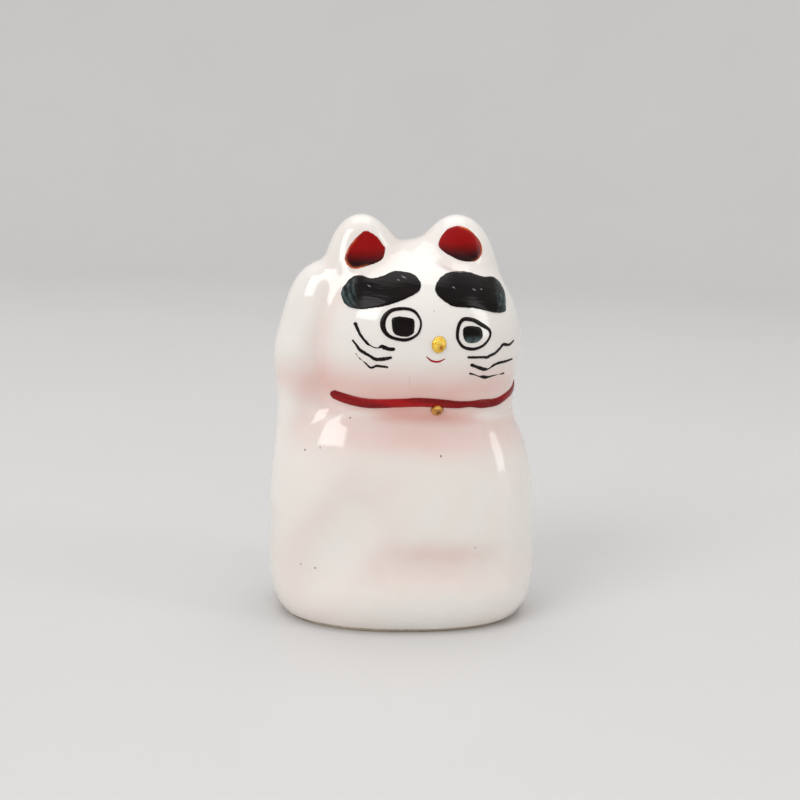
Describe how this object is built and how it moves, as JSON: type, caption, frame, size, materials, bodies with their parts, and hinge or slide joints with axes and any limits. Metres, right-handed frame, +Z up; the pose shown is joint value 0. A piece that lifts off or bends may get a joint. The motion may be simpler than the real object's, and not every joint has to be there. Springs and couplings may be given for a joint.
{
  "type": "beckoning cat figurine",
  "caption": "Small hollow glazed ceramic cat with a raised paw, hand painted in raised enamel with brows, ringed eyes, whiskers, collar and gold bell.",
  "frame": {"origin": "middle of the underside of the bounding box", "axes": "+Z up, the cat faces -Y, its raised right paw is at -X"},
  "size_m": [0.0534, 0.0374, 0.0792],
  "materials": {
    "bisque": "unglazed fired clay",
    "glaze": "glossy warm white glaze",
    "red_enamel": "glossy dark red overglaze enamel",
    "black_enamel": "glossy black overglaze enamel",
    "gold": "bright fired gold lustre over a raised drop"
  },
  "bodies": {
    "root": {"front_shell": "bisque", "back_shell": "bisque", "base_plate": "bisque", "glaze_front": "glaze", "glaze_back": "glaze", "ear_lining_right": "red_enamel", "ear_lining_left": "red_enamel", "collar": "red_enamel", "mouth_line": "red_enamel", "eyebrow_right": "black_enamel", "eyebrow_left": "black_enamel", "eye_ring_right": "black_enamel", "eye_ring_left": "black_enamel", "pupil_right": "black_enamel", "pupil_left": "black_enamel", "nose_bead": "gold", "collar_bell": "gold", "whisker_right_1": "black_enamel", "whisker_right_2": "black_enamel", "whisker_right_3": "black_enamel", "whisker_left_1": "black_enamel", "whisker_left_2": "black_enamel", "whisker_left_3": "black_enamel"}
  },
  "joints": []
}
